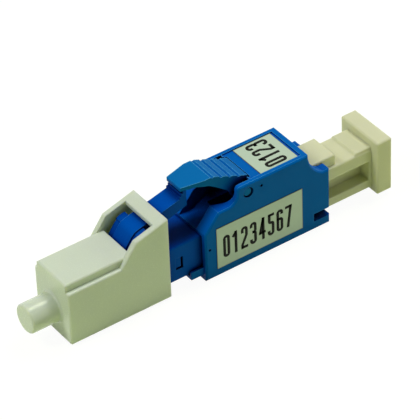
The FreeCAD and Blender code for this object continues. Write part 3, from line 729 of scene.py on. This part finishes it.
@dataclass
class Label:
    """A paper label and the row of plain digits printed on it."""

    node: str
    body: str
    digits: str
    across: tuple[int, int]
    reading: Vector
    upward: Vector
    digit_mm: tuple[float, float]
    pitch_mm: float
    shift_mm: tuple[float, float]
    paper: str
    fibre: str
    paper_roughness: float = 0.5
    trim_mm: float = 0.0
    stroke_mm: float = 0.34
    corner_mm: float = 0.25
    corner_steps: int = 4
    ink_mm: float = 0.008

    def print_tree(self) -> Tree:
        """Build the tree that turns lines into inked strokes.

        Returns:
            A tree with inputs for the lines, their corners, the stroke and the ink.
        """
        tree = new_tree("inked_strokes", {
            "Lines": "Geometry", "Corner radius": "Float", "Corner steps": "Int",
            "Stroke width": "Float", "Ink thickness": "Float", "Ink": "Material",
        })
        given = add_node(tree, "NodeGroupInput").outputs
        lines = add_node(tree, "GeometryNodeMeshToCurve", {"Mesh": given["Lines"]})
        rounded = add_node(tree, "GeometryNodeFilletCurve", {
            "Curve": lines.outputs["Curve"], "Count": given["Corner steps"],
            "Radius": given["Corner radius"], "Limit Radius": True,
        }, mode="POLY")
        level = add_node(tree, "GeometryNodeSetCurveNormal", {
            "Curve": rounded.outputs["Curve"],
        }, mode="Z_UP")
        section = add_node(tree, "GeometryNodeCurvePrimitiveQuadrilateral", {
            "Width": given["Stroke width"], "Height": given["Ink thickness"],
        })
        swept = add_node(tree, "GeometryNodeCurveToMesh", {
            "Curve": level.outputs["Curve"], "Profile Curve": section.outputs["Curve"],
            "Fill Caps": True,
        })
        whole = add_node(tree, "GeometryNodeRealizeInstances", {"Geometry": swept.outputs["Mesh"]})
        inked = add_node(tree, "GeometryNodeSetMaterial", {
            "Geometry": whole.outputs["Geometry"], "Material": given["Ink"],
        })
        add_node(tree, "NodeGroupOutput", {"Geometry": inked.outputs["Geometry"]})
        return tree

    def lines(self) -> bpy.types.Mesh:
        """Set the row of digits as bare lines, centred on the origin in the XY plane.

        Returns:
            A mesh of edges.
        """
        wide = (self.digit_mm[0] - self.stroke_mm) * MM
        high = (self.digit_mm[1] - self.stroke_mm) * MM
        pitch = self.pitch_mm * MM
        start = -(pitch * (len(self.digits) - 1) + wide) / 2
        points: list[Vector] = []
        edges: list[tuple[int, int]] = []
        for place, digit in enumerate(self.digits):
            left = start + place * pitch
            for stroke in DIGIT_STROKES[digit]:
                closed = stroke[0] == stroke[-1]
                corners = stroke[:-1] if closed else stroke
                spots = [
                    Vector((left + x * wide, (y / CELL_HEIGHT - 0.5) * high, 0)) for x, y in corners
                ]
                if not closed:
                    # The pen is square, so a stroke reaches half its width past its last point
                    for tip, inner in ((0, 1), (-1, -2)):
                        heading = (spots[tip] - spots[inner]).normalized()
                        spots[tip] += heading * self.stroke_mm * MM / 2
                first = len(points)
                points += spots
                last = len(points) - 1
                edges += [(step, step + 1) for step in range(first, last)]
                if closed:
                    edges.append((last, first))
        mesh = bpy.data.meshes.new(self.node + "_lines")
        mesh.from_pydata(points, edges, [])
        return mesh

    def build_sheet(self, centre: Vector) -> None:
        """Copy the label's solid, cut its lower edge and dress it.

        Args:
            centre: The middle of the solid, in metres.
        """
        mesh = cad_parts[self.node].data.copy()
        for vertex in mesh.vertices:
            if (vertex.co - centre).dot(self.upward) < 0:
                vertex.co += self.upward * self.trim_mm * MM
        sides = []
        for axis in self.across:
            places = [vertex.co[axis] for vertex in mesh.vertices]
            sides.append((axis, min(places), max(places)))
        paper = LabelStock(
            "coated_paper_" + self.node, self.paper, self.paper_roughness, fibre_colour=self.fibre,
            sides=tuple(sides),
        )
        mesh.materials.clear()
        mesh.materials.append(paper.material())
        mesh.name = self.node + "_sheet"
        piece = add_piece(self.node + "_finished", mesh, self.body)
        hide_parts(self.node)

    def build(self) -> None:
        """Make the paper and lay the digits on its face."""
        low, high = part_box(self.node)
        centre = (low + high) / 2
        self.build_sheet(centre)
        row = plain_mesh(self.node + "_digits", self.print_tree(), {
            "Corner radius": self.corner_mm * MM,
            "Corner steps": self.corner_steps,
            "Stroke width": self.stroke_mm * MM,
            "Ink thickness": self.ink_mm * MM,
            "Ink": INK.material(),
        }, self.lines())
        outward = self.reading.cross(self.upward)
        thickness = abs((high - low).dot(outward)) + self.ink_mm * MM
        along, up = (shift * MM for shift in self.shift_mm)
        origin = centre + outward * thickness / 2 + self.reading * along + self.upward * up
        axes = Matrix((self.reading, self.upward, outward)).transposed().to_4x4()
        row.transform(Matrix.Translation(origin) @ axes)
        add_piece(self.node + "_print", row, self.body)


@dataclass
class CoilSpring:
    """The spring behind the ferrule, wound from round wire."""

    node: str = "ferrule_spring"
    body: str = "housing"
    wire_mm: float = 0.3
    turns: float = 5.0
    steps_per_turn: int = 28
    wire_sides: int = 12

    def coil_tree(self) -> Tree:
        """Build the tree that sweeps a round wire along a helix.

        Returns:
            A tree with inputs for the coil's length, radius, turns, wire and material.
        """
        tree = new_tree("coil_spring", {
            "Length": "Float", "Radius": "Float", "Turns": "Float", "Steps": "Int",
            "Wire radius": "Float", "Wire sides": "Int", "Steel": "Material",
        })
        given = add_node(tree, "NodeGroupInput").outputs
        helix = add_node(tree, "GeometryNodeCurveSpiral", {
            "Resolution": given["Steps"], "Rotations": given["Turns"], "Start Radius": given["Radius"],
            "End Radius": given["Radius"], "Height": given["Length"],
        })
        wire = add_node(tree, "GeometryNodeCurvePrimitiveCircle", {
            "Resolution": given["Wire sides"], "Radius": given["Wire radius"],
        })
        swept = add_node(tree, "GeometryNodeCurveToMesh", {
            "Curve": helix.outputs["Curve"], "Profile Curve": wire.outputs["Curve"],
            "Fill Caps": True,
        })
        whole = add_node(tree, "GeometryNodeRealizeInstances", {"Geometry": swept.outputs["Mesh"]})
        steel = add_node(tree, "GeometryNodeSetMaterial", {
            "Geometry": whole.outputs["Geometry"], "Material": given["Steel"],
        })
        add_node(tree, "NodeGroupOutput", {"Geometry": steel.outputs["Geometry"]})
        return tree

    def build(self) -> None:
        """Wind the spring where its solid is."""
        low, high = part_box(self.node)
        wire = self.wire_mm * MM
        mesh = plain_mesh("spring_wire", self.coil_tree(), {
            "Length": high.x - low.x - wire,
            "Radius": (high.y - low.y - wire) / 2,
            "Turns": self.turns,
            "Steps": self.steps_per_turn,
            "Wire radius": wire / 2,
            "Wire sides": self.wire_sides,
            "Steel": SPRING_STEEL.material(),
        })
        along_x = Matrix.Rotation(math.radians(90), 4, "Y")
        start = Vector((low.x + wire / 2, (low.y + high.y) / 2, (low.z + high.z) / 2))
        mesh.transform(Matrix.Translation(start) @ along_x)
        mesh.shade_smooth()
        piece = add_piece("spring_coil", mesh, self.body)
        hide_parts(self.node)


@dataclass
class Lamp:
    """A soft square lamp that faces the object, with its place from the point that it faces."""

    name: str
    place_mm: tuple[float, float, float]
    watts: float
    side_mm: float = 110.0

    def build(self, target: Vector) -> None:
        """Hang the lamp and aim it.

        Args:
            target: The point that it faces, in metres.
        """
        light = bpy.data.lights.new(self.name, "AREA")
        light.size = self.side_mm * MM
        light.energy = self.watts
        lamp = bpy.data.objects.new(self.name, light)
        lamp.location = target + Vector(self.place_mm) * MM
        lamp.rotation_euler = (target - lamp.location).to_track_quat("-Z", "Y").to_euler()
        bpy.context.scene.collection.objects.link(lamp)


@dataclass
class Studio:
    """Pale floor, soft lamps, white surroundings and the camera.

    The floor's white share shows as plain white, and the rest as a lit card that keeps the shadow.
    """

    look_at_mm: tuple[float, float, float] = (-3.635, 2.18, 4.0)
    azimuth_deg: float = -34.2
    elevation_deg: float = 38.9
    roll_deg: float = -2.27
    distance_mm: float = 329.2
    focal_px: float = 3178.0
    frame_px: float = 420.0
    sensor_mm: float = 36.0
    clip_start_mm: float = 10.0
    floor_side_mm: float = 1500.0
    floor_gap_mm: float = 0.02
    floor_white: float = 1.08
    white_share: float = 0.88
    card_colour: str = "#ECF8C2"
    ambient: float = 0.03

    def lamps(self) -> list[Lamp]:
        """List the lamps: two high, one low at each end and one low on the near side.

        Returns:
            The lamps, not yet hung.
        """
        return [
            Lamp("lamp_over_plug", (-211, 56, 260), 0.49),
            Lamp("lamp_above_port", (112, 30, 320), 0.54),
            Lamp("lamp_behind_port", (320, 0, 116), 0.19),
            Lamp("lamp_before_cap", (-320, 0, 116), 0.02),
            Lamp("lamp_near_port", (226, -226, 116), 0.09),
        ]

    @staticmethod
    def seen_directly(tree: Tree) -> Socket:
        """Tell the rays that show the surroundings from those that light the object.

        Args:
            tree: The nodes that get the test.

        Returns:
            A socket that is one for camera, glossy and transmission rays.
        """
        path = add_node(tree, "ShaderNodeLightPath").outputs
        seen = path["Is Camera Ray"]
        for kind in ("Is Glossy Ray", "Is Transmission Ray"):
            either = add_node(tree, "ShaderNodeMath", {0: seen, 1: path[kind]}, operation="MAXIMUM")
            seen = either.outputs[0]
        return seen

    def build_floor(self) -> None:
        """Lay the floor, white with the object's faint shadow, which bounces a pale yellow green."""
        half = self.floor_side_mm / 2 * MM
        level = CAD_BOX[0][2] - self.floor_gap_mm * MM
        mesh = bpy.data.meshes.new("floor")
        mesh.from_pydata(
            [(-half, -half, level), (half, -half, level), (half, half, level), (-half, half, level)],
            [], [(0, 1, 2, 3)],
        )
        material = bpy.data.materials.new("pale_floor")
        material.use_nodes = True
        tree = material.node_tree
        tree.nodes.clear()
        card = add_node(tree, "ShaderNodeBsdfDiffuse", {"Color": linear(self.card_colour)})
        white = add_node(tree, "ShaderNodeEmission", {"Color": WHITE, "Strength": self.floor_white})
        share = add_node(tree, "ShaderNodeMath", {
            0: self.seen_directly(tree), 1: self.white_share,
        }, operation="MULTIPLY")
        mixed = add_node(tree, "ShaderNodeMixShader", {
            "Fac": share.outputs[0], 1: card.outputs["BSDF"], 2: white.outputs["Emission"],
        })
        add_node(tree, "ShaderNodeOutputMaterial", {"Surface": mixed.outputs["Shader"]})
        mesh.materials.append(material)
        floor = bpy.data.objects.new("floor", mesh)
        bpy.context.scene.collection.objects.link(floor)
        # All lamps hang above the floor, so it casts no shadow, and the painted hollow shade leaves it
        # out
        floor.visible_shadow = False

    def build_world(self) -> None:
        """Make the surroundings white to look at and dim as light."""
        world = bpy.data.worlds.new("surroundings")
        world.use_nodes = True
        tree = world.node_tree
        tree.nodes.clear()
        strength = add_node(tree, "ShaderNodeMapRange", {
            "Value": self.seen_directly(tree), "To Min": self.ambient, "To Max": 1.0,
        })
        sky = add_node(tree, "ShaderNodeBackground", {
            "Color": WHITE, "Strength": strength.outputs["Result"],
        })
        add_node(tree, "ShaderNodeOutputWorld", {"Surface": sky.outputs["Background"]})
        bpy.context.scene.world = world

    def build_camera(self) -> None:
        """Place the camera where the photograph was taken from."""
        azimuth = math.radians(self.azimuth_deg)
        elevation = math.radians(self.elevation_deg)
        roll = math.radians(self.roll_deg)
        back = Vector((
            math.sin(azimuth) * math.cos(elevation),
            -math.cos(azimuth) * math.cos(elevation),
            math.sin(elevation),
        ))
        level = Vector((0, 0, 1)).cross(back).normalized()
        upright = back.cross(level)
        right = level * math.cos(roll) + upright * math.sin(roll)
        up = upright * math.cos(roll) - level * math.sin(roll)
        lens = bpy.data.cameras.new("camera")
        lens.sensor_width = self.sensor_mm
        lens.lens = self.focal_px / self.frame_px * self.sensor_mm
        lens.clip_start = self.clip_start_mm * MM
        lens.dof.use_dof = False
        camera = bpy.data.objects.new("camera", lens)
        place = Vector(self.look_at_mm) * MM + back * self.distance_mm * MM
        axes = Matrix((right, up, back)).transposed().to_4x4()
        camera.matrix_world = Matrix.Translation(place) @ axes
        bpy.context.scene.collection.objects.link(camera)
        bpy.context.scene.camera = camera

    def build(self) -> None:
        """Set up everything round the object."""
        self.build_floor()
        self.build_world()
        target = Vector(self.look_at_mm) * MM
        for lamp in self.lamps():
            lamp.build(target)
        self.build_camera()
        bpy.context.scene.view_settings.view_transform = "Standard"


def mouldings() -> list[Moulding]:
    """List the solids that keep their shape, each with its body and finish.

    Returns:
        The solids, not yet dressed.
    """
    return [
        Moulding("rear_body", "housing", BLUE_BODY),
        Moulding("plug_housing", "housing", BLUE_PLUG),
        Moulding("latch_arm", "latch", BLUE_PLUG),
        Moulding("trigger", "trigger_lever", BLUE_LEVER),
        Moulding("dust_cap", "front_cap", WHITE_POLYETHYLENE),
        Moulding("dust_plug", "rear_plug", CREAM_POLYETHYLENE),
        Moulding("spring_retainer", "housing", BLUE_PLUG),
        Moulding("sleeve_holder", "housing", WHITE_LIQUID_CRYSTAL),
        Moulding("split_sleeve", "housing", ZIRCONIA),
        Moulding("ferrule", "ferrule_assembly", ZIRCONIA),
        Moulding("ferrule_flange", "ferrule_assembly", NICKEL_PLATE),
        Moulding("attenuating_fibre", "ferrule_assembly", SMOKED_SILICA),
    ]


def labels() -> list[Label]:
    """List the two labels with their plain digits.

    Returns:
        The labels, not yet built.
    """
    along = Vector((1, 0, 0))
    across = Vector((0, 1, 0))
    up = Vector((0, 0, 1))
    return [
        Label(
            "side_label", "housing", "01234567", across=(0, 2), reading=along, upward=up,
            digit_mm=(0.86, 2.85), pitch_mm=1.13, shift_mm=(-0.3, 0.0),
            paper="#C7DAC9", fibre="#C0D3C1", trim_mm=0.25,
        ),
        Label(
            "top_label", "housing", "0123", across=(0, 1), reading=across, upward=-along,
            digit_mm=(0.9, 2.6), pitch_mm=1.13, shift_mm=(0.0, -0.1),
            paper="#BDD1B6", fibre="#B6CAAE",
        ),
    ]


def main() -> None:
    """Build every piece, then the studio."""
    logging.basicConfig(level=logging.INFO, format="%(name)s: %(message)s")
    for moulding in mouldings():
        moulding.build()
    for label in labels():
        label.build()
    CoilSpring().build()
    Studio().build()


if __name__ == "__main__":
    main()
